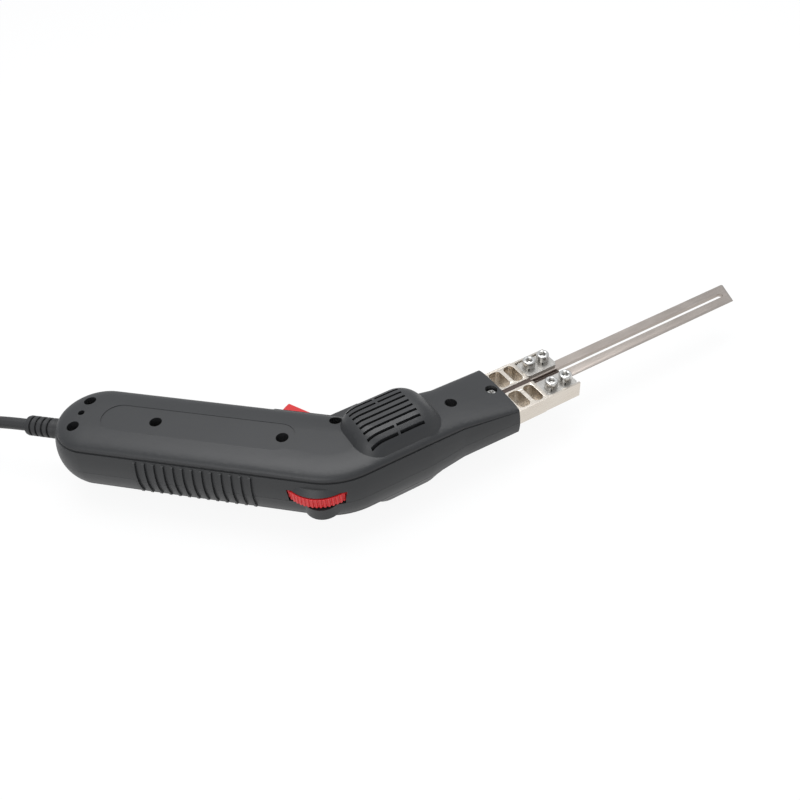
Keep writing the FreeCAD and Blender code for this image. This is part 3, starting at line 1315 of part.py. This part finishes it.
def main():
    os.makedirs("parts", exist_ok=True)
    body = outer_body()
    shared, hollow = shell_common(body.fuse(finger_ribs()))
    bar = terminal_bar()
    plate = clamp_plate()
    screw = strap_screw()
    parts = {
        "housing_right": upper_shell(body, shared, hollow),
        "housing_left": lower_shell(body, shared, hollow),
        "housing_screws": housing_screws(),
        "terminal_bar_far": bar,
        "terminal_bar_near": near_side(bar),
        "bar_carrier": bar_carrier(),
        "insulating_strip": insulating_strip(),
        "clamp_plate_far": plate,
        "clamp_plate_near": near_side(plate),
        "clamp_screws": Part.makeCompound([clamp_screw(x, y) for x, y in clamp_places()]),
        "spring_washers": Part.makeCompound([spring_washer(x, y) for x, y in clamp_places()]),
        "blade": blade(),
        "transformer_core": transformer_core(),
        "bobbin": bobbin(),
        "primary_winding": primary_winding(),
        "secondary_strap": secondary_strap(),
        "strap_screws": Part.makeCompound([screw, near_side(screw)]),
        "trigger_bezel": trigger_bezel(),
        "trigger": trigger(),
        "trigger_pin": trigger_pin(),
        "trigger_spring": trigger_spring(),
        "micro_switch": micro_switch(),
        "switch_plunger": switch_plunger(),
        "thumbwheel": thumbwheel(),
        "pot_shaft": pot_shaft(),
        "potentiometer": potentiometer(),
        "circuit_board": circuit_board(),
        "heat_sink": heat_sink(),
        "triac": triac(),
        "capacitor": capacitor(),
        "choke": choke(),
        "cord_boot": cord_boot(),
        "cord_inner": cord_inner(),
        "cord_clamp": cord_clamp(),
        "cord_clamp_screws": cord_clamp_screws(),
        "mains_leads": mains_leads(),
        "cord_run": cord_run(),
        "cord_coil": cord_coil(),
        "cord_tail": cord_tail(),
        "plug_body": plug_body(),
        "plug_pins": plug_pins(),
    }
    for name, shape in parts.items():
        print(name, "valid", shape.isValid(), "solids", len(shape.Solids), "volume", round(shape.Volume, 1))
        export(name, shape)


if __name__ == "__main__":
    main()
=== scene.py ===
# %% [markdown]
# # An electric hot knife, dressed for its photograph
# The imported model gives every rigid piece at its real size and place, in metres.
# This file loads it, gives each piece its finish, and rounds or replaces the pieces whose
# faceted CAD surface would show. Nothing is moved, so the tool still works as modelled.

# %% Load the frame
import json
import math
import bmesh
import bpy
from mathutils import Matrix, Vector


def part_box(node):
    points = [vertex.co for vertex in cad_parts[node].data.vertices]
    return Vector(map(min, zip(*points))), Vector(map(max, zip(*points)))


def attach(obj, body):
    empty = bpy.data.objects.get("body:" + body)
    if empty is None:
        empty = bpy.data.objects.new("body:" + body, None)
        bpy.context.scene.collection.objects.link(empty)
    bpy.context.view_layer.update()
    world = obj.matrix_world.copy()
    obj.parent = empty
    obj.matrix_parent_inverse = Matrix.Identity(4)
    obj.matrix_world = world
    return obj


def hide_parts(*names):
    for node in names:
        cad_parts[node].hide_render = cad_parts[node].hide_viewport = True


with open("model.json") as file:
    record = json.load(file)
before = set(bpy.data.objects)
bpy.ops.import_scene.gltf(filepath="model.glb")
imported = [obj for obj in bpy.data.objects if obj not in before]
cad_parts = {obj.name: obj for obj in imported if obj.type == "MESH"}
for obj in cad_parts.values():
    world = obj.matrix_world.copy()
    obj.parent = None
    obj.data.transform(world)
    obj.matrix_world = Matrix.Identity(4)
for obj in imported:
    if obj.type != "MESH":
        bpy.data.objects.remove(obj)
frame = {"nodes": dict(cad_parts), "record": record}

nodes = frame["nodes"]
body_of_node = {node: body for body, members in frame["record"]["behaviour"]["bodies"].items()
                for node in members}
slot_of_node = {entry["node"]: entry["material_slot"] for entry in frame["record"]["subparts"]}
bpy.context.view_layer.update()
scene = bpy.context.scene
mm = 0.001

# %% [markdown]
# ## Camera
# The photograph looks down on the tool at 43 degrees, from close by, with the camera rolled
# a little. An aim point, a distance and three angles say that in a photographer's words, and
# the matrix follows from them.

# %% Camera
aim = Vector((22.5, 29.9, 24.9)) * mm
distance = 481 * mm
elevation = math.radians(43.0)
heading = math.radians(26.7)
roll = math.radians(5.0)

forward = Vector((math.cos(elevation) * math.sin(heading), math.cos(elevation) * math.cos(heading),
                  -math.sin(elevation)))
level_right = Vector((math.cos(heading), -math.sin(heading), 0))
level_down = forward.cross(level_right)
right = level_right * math.cos(roll) + level_down * math.sin(roll)
down = level_down * math.cos(roll) - level_right * math.sin(roll)

camera_data = bpy.data.cameras.new("camera")
camera_data.lens = 890 / 800 * 36
camera_data.clip_start = 0.01
camera = bpy.data.objects.new("camera", camera_data)
turn = Matrix((right, -down, -forward)).transposed().to_4x4()
camera.matrix_world = Matrix.Translation(aim - forward * distance) @ turn
scene.collection.objects.link(camera)
scene.camera = camera
print("camera stands at", [round(v / mm) for v in camera.location], "mm")

# %% [markdown]
# ## Floor and light
# The background is plain white. The floor is a wide sheet that is white to the camera and still
# takes a faint shadow, so the tool doesn't float. Two large soft lamps and a pale world stand in
# for a light tent.

# %% Floor, world and lamps
scene.view_settings.view_transform = "Standard"


def white_to_camera(tree, shaded, share):
    """Mixes a plain white over a shader for the camera and for reflections."""
    path = tree.nodes.new("ShaderNodeLightPath")
    seen = tree.nodes.new("ShaderNodeMath")
    seen.operation = "MAXIMUM"
    tree.links.new(path.outputs["Is Camera Ray"], seen.inputs[0])
    tree.links.new(path.outputs["Is Glossy Ray"], seen.inputs[1])
    part = tree.nodes.new("ShaderNodeMath")
    part.operation = "MULTIPLY"
    part.inputs[1].default_value = share
    tree.links.new(seen.outputs[0], part.inputs[0])
    white = tree.nodes.new("ShaderNodeEmission")
    white.inputs["Strength"].default_value = 1.0
    mix = tree.nodes.new("ShaderNodeMixShader")
    tree.links.new(part.outputs[0], mix.inputs["Fac"])
    tree.links.new(shaded, mix.inputs[1])
    tree.links.new(white.outputs[0], mix.inputs[2])
    return mix.outputs[0]


floor_material = bpy.data.materials.new("white_floor")
floor_material.use_nodes = True
tree = floor_material.node_tree
tree.nodes.clear()
paint = tree.nodes.new("ShaderNodeBsdfDiffuse")
paint.inputs["Color"].default_value = (0.86, 0.86, 0.86, 1)
output = tree.nodes.new("ShaderNodeOutputMaterial")
tree.links.new(white_to_camera(tree, paint.outputs[0], 0.9), output.inputs["Surface"])

floor_mesh = bpy.data.meshes.new("floor")
reach = 4.0
floor_mesh.from_pydata([(-reach, -reach, 0), (reach, -reach, 0), (reach, reach, 0), (-reach, reach, 0)],
                       [], [(0, 1, 2, 3)])
floor_mesh.materials.append(floor_material)
floor = bpy.data.objects.new("floor", floor_mesh)
floor.location.z = -0.3 * mm
scene.collection.objects.link(floor)

world = bpy.data.worlds.new("light_tent")
world.use_nodes = True
scene.world = world
tree = world.node_tree
tree.nodes.clear()
tent = tree.nodes.new("ShaderNodeBackground")
tent.inputs["Color"].default_value = (0.93, 0.96, 1.0, 1)
tent.inputs["Strength"].default_value = 0.75
output = tree.nodes.new("ShaderNodeOutputWorld")
path = tree.nodes.new("ShaderNodeLightPath")
white = tree.nodes.new("ShaderNodeBackground")
mix = tree.nodes.new("ShaderNodeMixShader")
tree.links.new(path.outputs["Is Camera Ray"], mix.inputs["Fac"])
tree.links.new(tent.outputs[0], mix.inputs[1])
tree.links.new(white.outputs[0], mix.inputs[2])
tree.links.new(mix.outputs[0], output.inputs["Surface"])


def softbox(name, place, target, size, watts):
    lamp = bpy.data.lights.new(name, "AREA")
    lamp.shape = "RECTANGLE"
    lamp.size, lamp.size_y = size
    lamp.energy = watts
    obj = bpy.data.objects.new(name, lamp)
    obj.location = place
    obj.rotation_euler = (Vector(target) - Vector(place)).to_track_quat("-Z", "Y").to_euler()
    scene.collection.objects.link(obj)


softbox("overhead", (0.1, 0.25, 0.9), (0.02, 0.03, 0), (0.9, 0.6), 7)
softbox("front_left", (-0.75, -0.45, 0.55), (-0.03, 0.03, 0), (0.5, 0.5), 2.5)

# %% [markdown]
# ## Writing shaders as sums
# A finish is easier to read as arithmetic than as a list of links. `Socket` wraps one output and
# gives it the usual operators, and `Finish.add` makes any other node: its type, its settings, and
# the values or links of its sockets.

# %% Shader arithmetic
class Socket:
    def __init__(self, finish, output):
        self.finish = finish
        self.output = output

    def combined(self, operation, first, second):
        return self.finish.add("ShaderNodeMath", {"operation": operation}, {0: first, 1: second})

    def __add__(self, other):
        return self.combined("ADD", self, other)

    __radd__ = __add__

    def __sub__(self, other):
        return self.combined("SUBTRACT", self, other)

    def __mul__(self, other):
        return self.combined("MULTIPLY", self, other)

    __rmul__ = __mul__


class Finish:
    def __init__(self, name):
        self.material = bpy.data.materials.new(name)
        self.material.use_nodes = True
        self.tree = self.material.node_tree
        self.tree.nodes.clear()
        self.surface = self.tree.nodes.new("ShaderNodeBsdfPrincipled")
        end = self.tree.nodes.new("ShaderNodeOutputMaterial")
        self.tree.links.new(self.surface.outputs[0], end.inputs["Surface"])

    def add(self, kind, settings, inputs, output=0):
        node = self.tree.nodes.new(kind)
        for key, value in settings.items():
            setattr(node, key, value)
        for key, value in inputs.items():
            self.set_input(node.inputs[key], value)
        return Socket(self, node.outputs[output])

    def set_input(self, target, value):
        if isinstance(value, Socket):
            self.tree.links.new(value.output, target)
        else:
            target.default_value = value

    def shade(self, **values):
        """Sets the surface's own sockets: base_color, roughness, metallic and so on."""
        for key, value in values.items():
            self.set_input(self.surface.inputs[key.replace("_", " ").title()], value)
        return self.material

    def noise(self, size, scale=(1, 1, 1), detail=3.0):
        """Grey noise with grains of about that size in metres, drawn out where the scale is small."""
        here = self.add("ShaderNodeTexCoord", {}, {}, "Object")
        where = self.add("ShaderNodeMapping", {}, {"Vector": here, "Scale": scale})
        return self.add("ShaderNodeTexNoise", {}, {"Vector": where, "Scale": 0.5 / size,
                                                   "Detail": detail}, "Fac")

    def between(self, factor, dark, light):
        """A colour between two, by a grey value."""
        return self.add("ShaderNodeMix", {"data_type": "RGBA"},
                        {0: factor, 6: (*dark, 1), 7: (*light, 1)}, 2)

    def bump(self, height, depth):
        return self.add("ShaderNodeBump", {}, {"Height": height, "Distance": depth, "Strength": 1.0},
                        "Normal")


# %% [markdown]
# ## Finishes
# The handle is spark eroded black plastic: a fine even grain that breaks up its sheen. The
# trigger and the wheel are the same kind of plastic in red, with less grain. The bars are nickel
# plated, milled along their length, and the blade is ground steel with a slight heat tint.

# %% Plastics
def moulded(name, colour, roughness, grain, depth, variation=0.15):
    """Plastic with a fine grain, its size and depth in millimetres, and a slight cloud of colour."""
    finish = Finish(name)
    fine = finish.noise(grain * mm)
    broad = finish.noise(18 * mm, detail=2.0)
    darker = [c * (1 - variation) for c in colour]
    lighter = [c * (1 + variation) for c in colour]
    return finish.shade(
        base_color=finish.between(broad, darker, lighter),
        roughness=roughness + 0.08 * (broad - 0.5) + 0.1 * (fine - 0.5),
        normal=finish.bump(fine, depth * mm),
    )


# Each row: colour, roughness, grain, its depth and, where it isn't the usual, the variation.
plastics = {
    "housing": ((0.016, 0.0165, 0.0175), 0.46, 0.16, 0.02),
    "bezel": ((0.013, 0.013, 0.014), 0.42, 0.16, 0.012),
    "trigger_red": ((0.52, 0.014, 0.016), 0.33, 0.12, 0.006, 0.06),
    "wheel_red": ((0.50, 0.012, 0.014), 0.38, 0.12, 0.008, 0.06),
    "bobbin_nylon": ((0.72, 0.69, 0.6), 0.45, 0.2, 0.01),
    "fibre": ((0.05, 0.03, 0.022), 0.6, 0.15, 0.01),
    "switch_case": ((0.03, 0.03, 0.033), 0.45, 0.2, 0.01),
    "board_green": ((0.02, 0.11, 0.04), 0.35, 0.4, 0.01),
    "component_black": ((0.02, 0.02, 0.02), 0.5, 0.2, 0.01),
    "capacitor_case": ((0.42, 0.24, 0.03), 0.35, 0.3, 0.01),
    "ferrite": ((0.04, 0.08, 0.045), 0.5, 0.3, 0.02),
    "cord_rubber": ((0.014, 0.014, 0.015), 0.5, 0.25, 0.01),
    "lead_brown": ((0.12, 0.05, 0.025), 0.45, 0.25, 0.01),
    "plug_rubber": ((0.016, 0.016, 0.017), 0.48, 0.2, 0.015),
}


# %% Metals
def brushed(name, dark, light, roughness, along, line, depth):
    """Metal with fine lines along one axis, from grinding or milling, in millimetres."""
    finish = Finish(name)
    scale = [0.02 if axis == along else 1.0 for axis in "XYZ"]
    lines = finish.noise(line * mm, scale, 4.0)
    cloud = finish.noise(7 * mm, detail=3.0)
    return finish.shade(
        base_color=finish.between(0.6 * lines + 0.4 * cloud, dark, light),
        metallic=1.0,
        roughness=roughness + 0.25 * (lines - 0.5) + 0.08 * (cloud - 0.5),
        normal=finish.bump(lines, depth * mm),
    )


# Each row: darkest and lightest colour, roughness, the lines' axis, their width and their depth.
metals = {
    "nickel": ((0.56, 0.50, 0.43), (0.80, 0.75, 0.68), 0.3, "X", 0.12, 0.006),
    "nickel_steel": ((0.45, 0.44, 0.42), (0.74, 0.73, 0.71), 0.26, "Z", 0.1, 0.004),
    "steel": ((0.34, 0.33, 0.31), (0.60, 0.58, 0.55), 0.34, "Y", 0.12, 0.005),
    "blade_steel": ((0.30, 0.26, 0.23), (0.52, 0.47, 0.43), 0.36, "X", 0.1, 0.004),
    "core_steel": ((0.05, 0.05, 0.055), (0.12, 0.12, 0.13), 0.5, "X", 0.5, 0.03),
    "enamelled_copper": ((0.3, 0.09, 0.03), (0.6, 0.24, 0.1), 0.35, "Y", 0.4, 0.1),
    "copper": ((0.62, 0.3, 0.18), (0.85, 0.5, 0.35), 0.35, "X", 0.2, 0.01),
    "pot_case": ((0.4, 0.4, 0.38), (0.65, 0.65, 0.62), 0.4, "Z", 0.2, 0.01),
    "aluminium_sink": ((0.55, 0.55, 0.56), (0.8, 0.8, 0.8), 0.4, "Z", 0.2, 0.01),
    "brass_pins": ((0.6, 0.55, 0.42), (0.8, 0.76, 0.64), 0.28, "Z", 0.15, 0.005),
}
materials = {name: moulded(name, *look) for name, look in plastics.items()}
materials.update({name: brushed(name, *look) for name, look in metals.items()})
print("finishes:", len(materials))

# %% [markdown]
# ## Carrying the CAD pieces over
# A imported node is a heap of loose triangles, which shades flat. A welded copy can be smooth where
# the real surface is, and its edges can get the small radius that every moulded or machined edge
# has. The copy stands where the node stands.

# %% Smooth shading
def even_normals(mesh, soft_angle):
    """Gives every corner the mean of the faces at its vertex that turn from its own face by less
    than the soft angle, the large faces counting most. Narrow triangles then leave no dents."""
    mesh.shade_smooth()
    limit = math.cos(math.radians(soft_angle))
    facing = [face.normal.copy() for face in mesh.polygons]
    weighted = [face.normal * face.area for face in mesh.polygons]
    round_vertex = [[] for _ in mesh.vertices]
    for face in mesh.polygons:
        for vertex in face.vertices:
            round_vertex[vertex].append(face.index)
    normals = []
    for face in mesh.polygons:
        own = facing[face.index]
        for vertex in face.vertices:
            total = Vector()
            for other in round_vertex[vertex]:
                if own.dot(facing[other]) > limit:
                    total += weighted[other]
            normals.append(total.normalized() if total.length > 0 else own)
    mesh.normals_split_custom_set(normals)


# %% Welded copies
def welded(node, soft_angle=30.0, edge=0.0):
    """A smooth shaded copy of a node, with its sharp edges rounded by edge."""
    form = bmesh.new()
    form.from_mesh(nodes[node].data)
    bmesh.ops.remove_doubles(form, verts=form.verts, dist=0.002 * mm)
    if edge:
        bmesh.ops.dissolve_limit(form, angle_limit=math.radians(0.6), verts=form.verts, edges=form.edges)
    mesh = bpy.data.meshes.new(node + "_form")
    form.to_mesh(mesh)
    form.free()
    mesh.materials.clear()
    mesh.materials.append(materials[slot_of_node[node]])
    piece = bpy.data.objects.new(node + "_form", mesh)
    scene.collection.objects.link(piece)
    if edge:
        mesh.shade_smooth()
        mesh.set_sharp_from_angle(angle=math.radians(soft_angle))
        bevel = piece.modifiers.new("edge", "BEVEL")
        bevel.width = edge
        bevel.segments = 2
        bevel.limit_method = "ANGLE"
        bevel.angle_limit = math.radians(35)
        bevel.harden_normals = True
        bevel.use_clamp_overlap = True
    else:
        even_normals(mesh, soft_angle)
    return piece


def dress(piece, node):
    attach(piece, body_of_node[node])
    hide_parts(node)
    return piece


remade = {"cord_run", "cord_coil", "cord_tail", "cord_boot", "clamp_screws"}
rounded = {"terminal_bar_far": 0.25 * mm, "terminal_bar_near": 0.25 * mm, "clamp_plate_far": 0.15 * mm,
           "clamp_plate_near": 0.15 * mm, "trigger": 0.5 * mm, "trigger_bezel": 0.5 * mm}
for node in nodes:
    if node not in remade:
        dress(welded(node, edge=rounded.get(node, 0.0)), node)
print("welded:", len(nodes) - len(remade))

# %% [markdown]
# ## Turned pieces
# The cord boot and the clamp screws are bodies of revolution, so they are made again from a
# profile: rings along an axis, each with its own radius. A ring may also be a hexagon, which makes
# the socket of a screw.

# %% Turning a profile
def hexagon(angle):
    """How far a hexagon's side lies from its centre, for a half width of one."""
    sixth = math.pi / 3
    return 1 / math.cos(angle % sixth - sixth / 2)


def turned(name, profile, sides=72):
    """A closed mesh about the Z axis from rings of (height, radius) or (height, radius, shape)."""
    form = bmesh.new()
    rings = []
    for height, radius, *shape in profile:
        ring = []
        for index in range(sides):
            angle = index * math.tau / sides
            out = radius * (shape[0](angle) if shape else 1)
            ring.append(form.verts.new(Vector((out * math.cos(angle), out * math.sin(angle), height)) * mm))
        rings.append(ring)
    for ring, following in zip(rings, rings[1:]):
        for index in range(sides):
            after = (index + 1) % sides
            form.faces.new((ring[index], ring[after], following[after], following[index]))
    form.faces.new(reversed(rings[0]))
    form.faces.new(rings[-1])
    bmesh.ops.recalc_face_normals(form, faces=form.faces)
    mesh = bpy.data.meshes.new(name)
    form.to_mesh(mesh)
    form.free()
    return mesh


def settle(mesh, node, soft_angle=32.0):
    """Turns a finished mesh into the piece that stands in for a node."""
    mesh.materials.clear()
    mesh.materials.append(materials[slot_of_node[node]])
    even_normals(mesh, soft_angle)
    piece = bpy.data.objects.new(node + "_form", mesh)
    scene.collection.objects.link(piece)
    return dress(piece, node)


# %% Clamp screws
# Four socket head screws hold the blade. One is turned, and a node group sets it on four points,
# each with a turn of its own, because nobody tightens four screws to the same angle.
def lay_out(name, mesh, places, seed):
    """One mesh holding a copy of the given mesh at each place, turned about Z by chance."""
    source = bpy.data.objects.new(name + "_source", mesh)
    scene.collection.objects.link(source)
    spots = bpy.data.meshes.new(name + "_spots")
    spots.from_pydata(places, [], [])
    carrier = bpy.data.objects.new(name, spots)
    scene.collection.objects.link(carrier)

    group = bpy.data.node_groups.new(name, "GeometryNodeTree")
    sockets = {}
    for label, kind, direction in (
            ("Points", "Geometry", "INPUT"), ("Piece", "Object", "INPUT"), ("Turn", "Vector", "INPUT"),
            ("Seed", "Int", "INPUT"), ("Laid out", "Geometry", "OUTPUT")):
        sockets[label] = group.interface.new_socket(label, in_out=direction, socket_type="NodeSocket" + kind)
    start = group.nodes.new("NodeGroupInput")
    end = group.nodes.new("NodeGroupOutput")
    piece = group.nodes.new("GeometryNodeObjectInfo")
    chance = group.nodes.new("FunctionNodeRandomValue")
    chance.data_type = "FLOAT_VECTOR"
    copies = group.nodes.new("GeometryNodeInstanceOnPoints")
    solid = group.nodes.new("GeometryNodeRealizeInstances")
    for source_socket, target in (
            (start.outputs["Points"], copies.inputs["Points"]),
            (start.outputs["Piece"], piece.inputs["Object"]),
            (start.outputs["Turn"], chance.inputs[1]),
            (start.outputs["Seed"], chance.inputs["Seed"]),
            (piece.outputs["Geometry"], copies.inputs["Instance"]),
            (chance.outputs[0], copies.inputs["Rotation"]),
            (copies.outputs["Instances"], solid.inputs["Geometry"]),
            (solid.outputs[0], end.inputs["Laid out"])):
        group.links.new(source_socket, target)

    layer = carrier.modifiers.new(name, "NODES")
    layer.node_group = group
    layer[sockets["Piece"].identifier] = source
    layer[sockets["Turn"].identifier] = (0.0, 0.0, math.tau)
    layer[sockets["Seed"].identifier] = seed
    ready = carrier.evaluated_get(bpy.context.evaluated_depsgraph_get())
    laid = bpy.data.meshes.new_from_object(ready)
    for helper in (carrier, source):
        bpy.data.objects.remove(helper)
    return laid


screw_low, screw_high = [Vector(corner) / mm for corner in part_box("clamp_screws")]
head_radius, head_height, shank_radius, socket_half = 3.5, 4.0, 2.0, 1.5
seat = screw_high.z - head_height
shank = [(screw_low.z, 1.5), (screw_low.z + 0.5, shank_radius), (seat, shank_radius)]
head = [(seat, 3.3), (seat + 0.2, head_radius), (seat + 3.2, head_radius), (seat + 3.55, 3.4),
        (seat + 3.85, 3.15), (seat + head_height, 2.75), (seat + head_height, 2.2)]
hex_socket = [(seat + 3.85, 1.85, hexagon), (seat + 3.6, socket_half, hexagon),
              (seat + 1.6, socket_half, hexagon), (seat + 1.1, 0.3)]
screw = turned("clamp_screw", shank + head + hex_socket)
places = [Vector((x, y, 0)) * mm for x in (screw_low.x + head_radius, screw_high.x - head_radius)
          for y in (screw_low.y + head_radius, screw_high.y - head_radius)]
screws = settle(lay_out("clamp_screws_laid", screw, places, seed=7), "clamp_screws")
print("screw faces:", len(screws.data.polygons))

# %% Cord boot
# A moulded sleeve with four narrow grooves, so that it bends. It lies along the grip's axis.
grip_angle = math.radians(43.0)
bend_x = -23.6
cord_radius = 3.3
exit_height = 27.3


def on_grip(s):
    return Vector((bend_x - math.cos(grip_angle) * s, math.sin(grip_angle) * s, exit_height))


flange_radius, neck_radius, boot_radius, bore_radius = 7.9, 5.2, 5.5, cord_radius + 0.05
flange_start, flange_end, neck_end, boot_end = 153.8, 156.5, 163.0, 180.6
groove_radius, groove_half, rounding = 4.5, 0.5, 0.25
groove_places = [166.4, 169.9, 173.4, 176.9]
profile = [(flange_start, flange_radius - 0.3), (flange_start + 0.3, flange_radius),
           (flange_end - 0.3, flange_radius), (flange_end, flange_radius - 0.3),
           (flange_end, neck_radius), (neck_end, neck_radius), (neck_end + 0.6, boot_radius)]
for place in groove_places:
    start, end = place - groove_half, place + groove_half
    profile += [(start - rounding, boot_radius), (start, boot_radius - rounding), (start, groove_radius),
                (end, groove_radius), (end, boot_radius - rounding), (end + rounding, boot_radius)]
profile += [(boot_end - 1.6, boot_radius), (boot_end - 0.5, 5.1), (boot_end, 4.5), (boot_end, bore_radius),
            (boot_end - 1.0, bore_radius)]
boot = turned("boot", profile)
axis = on_grip(1) - on_grip(0)
boot.transform(Matrix.Translation(on_grip(0) * mm) @ axis.to_track_quat("Z", "Y").to_matrix().to_4x4())
settle(boot, "cord_boot")
print("boot faces:", len(boot.polygons))

# %% [markdown]
# ## The cord
# A round mains lead, 6.6 mm thick and about 1.5 m long. It leaves the boot straight, sinks to the
# table and runs out of the picture. What the picture doesn't show is wound into a neat coil, and the
# plug lies beside it. One NURBS curve follows the points that the CAD route has.

# %% Cord
low = cord_radius
step = 7.15
high = low + step
coil_x, coil_y, coil_outer = -268.0, 150.0, 46.5
coil_loops = 3
cord_start = 181.6
route = [on_grip(cord_start), on_grip(cord_start + 22), Vector((-199, 162, 20.4)),
         Vector((-224, 183.5, 9.4)), Vector((coil_x + 23, coil_y + coil_outer, low))]


def coil_end(k):
    """How far in from the outer turn the coil is after k half turns, and how high."""
    last_low = 2 * coil_loops
    inward = k
    if k > last_low + 1:
        inward = 2 * last_low - k + (0 if k % 2 == 0 else 2)
    return coil_outer - inward * step / 2, low if k <= last_low else high


for k in range(4 * coil_loops):
    side = 1 if k % 2 == 0 else -1
    (first, from_height), (second, to_height) = coil_end(k), coil_end(k + 1)
    radius = (first + second) / 2
    centre_y = coil_y + side * (first - second) / 2
    for index in range(6):
        angle = math.radians(15 + 30 * index)
        out = radius / math.cos(math.radians(15))
        rise = (1 - math.cos(angle)) / 2
        route.append(Vector((coil_x - side * out * math.sin(angle), centre_y + side * out * math.cos(angle),
                             from_height + (to_height - from_height) * rise)))

tail_y = coil_y + coil_outer
route += [Vector((coil_x - 20, tail_y, high)), Vector((coil_x - 44, tail_y - 4.5, high - 1)),
          Vector((coil_x - 60, tail_y - 22.5, high - 2.7)), Vector((coil_x - 64, coil_y + 3, 6.8))]

curve = bpy.data.curves.new("mains_cord", "CURVE")
curve.dimensions = "3D"
spline = curve.splines.new("NURBS")
spline.points.add(len(route) - 1)
for point, place in zip(spline.points, route):
    point.co = (*(place * mm), 1)
spline.order_u = 3
spline.use_endpoint_u = True
spline.resolution_u = 8
curve.bevel_depth = cord_radius * mm
curve.bevel_resolution = 6
curve.use_fill_caps = True
curve.materials.append(materials["cord_rubber"])
cord = bpy.data.objects.new("mains_cord", curve)
scene.collection.objects.link(cord)
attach(cord, "housing")
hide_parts("cord_run", "cord_coil", "cord_tail")
print("cord points:", len(route))
